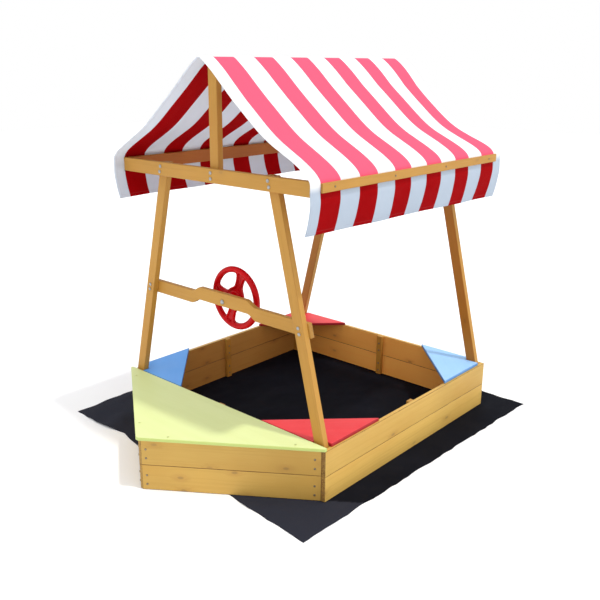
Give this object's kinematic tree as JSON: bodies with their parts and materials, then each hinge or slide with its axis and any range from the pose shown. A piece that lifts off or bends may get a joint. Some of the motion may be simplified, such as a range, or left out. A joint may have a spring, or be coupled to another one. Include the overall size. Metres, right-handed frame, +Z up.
{
  "type": "boat-shaped sandbox with canopy",
  "caption": "Boat-shaped wooden sandbox with corner seats, a decked bow, a striped gable canopy on leaning posts and a steering wheel that spins on a cross board.",
  "frame": {"origin": "centre of the square box footprint, on the ground under the ground sheet", "axes": "+Z up, -Y towards the bow, +X towards the right-hand side wall seen from astern"},
  "size_m": [1.368, 1.573, 1.4371],
  "materials": {
    "stained_plank": "honey stain, satin, with knots",
    "stained_post": "honey stain, satin",
    "stained_batten": "honey stain, satin",
    "weed_cloth": "matt non-woven",
    "lime_paint": "pale lime paint, satin",
    "blue_paint": "blue paint, satin",
    "light_blue_paint": "light blue paint, satin",
    "red_paint": "red paint, satin",
    "striped_cloth": "red and white woven stripes",
    "red_plastic": "glossy moulded",
    "red_plastic_dark": "glossy moulded",
    "zinc_steel": "zinc plated"
  },
  "bodies": {
    "frame": {"ground_sheet": "weed_cloth", "wall_left_lower": "stained_plank", "wall_left_upper": "stained_plank", "wall_right_lower": "stained_plank", "wall_right_upper": "stained_plank", "wall_front_lower": "stained_plank", "wall_front_upper": "stained_plank", "wall_rear_lower": "stained_plank", "wall_rear_upper": "stained_plank", "bow_left_lower": "stained_plank", "bow_left_upper": "stained_plank", "bow_right_lower": "stained_plank", "bow_right_upper": "stained_plank", "nose_block": "stained_batten", "batten_left": "stained_batten", "batten_right": "stained_batten", "batten_front": "stained_batten", "batten_rear": "stained_batten", "corner_blocks": "stained_batten", "bow_lid": "lime_paint", "seat_front_left": "blue_paint", "seat_front_right": "red_paint", "seat_rear_left": "red_paint", "seat_rear_right": "light_blue_paint", "post_front_left": "stained_post", "post_front_right": "stained_post", "post_rear_left": "stained_post", "post_rear_right": "stained_post", "crossbeam_front": "stained_post", "crossbeam_rear": "stained_post", "king_post_front": "stained_post", "king_post_rear": "stained_post", "ridge_beam": "stained_batten", "eave_rail_left": "stained_batten", "eave_rail_right": "stained_batten", "rail_cleats": "stained_batten", "clamp_batten_left": "stained_post", "clamp_batten_right": "stained_post", "canopy": "striped_cloth", "wheel_board": "stained_post", "wheel_bolt": "zinc_steel", "wheel_washer": "zinc_steel", "wheel_nut": "zinc_steel", "beam_bolts_front": "zinc_steel", "beam_bolts_rear": "zinc_steel", "board_bolts": "zinc_steel", "batten_screws": "zinc_steel", "bow_screws": "zinc_steel", "lid_screws": "zinc_steel", "post_screws": "zinc_steel", "block_screws": "zinc_steel", "clamp_screws": "zinc_steel"},
    "steering_wheel": {"steering_wheel": "red_plastic", "wheel_cap": "red_plastic_dark"}
  },
  "joints": [
    {"name": "wheel_spin", "type": "hinge", "parent": "frame", "child": "steering_wheel", "pos_m": [0, -0.425, 0.588], "axis": [0, -1, 0], "continuous": true}
  ]
}
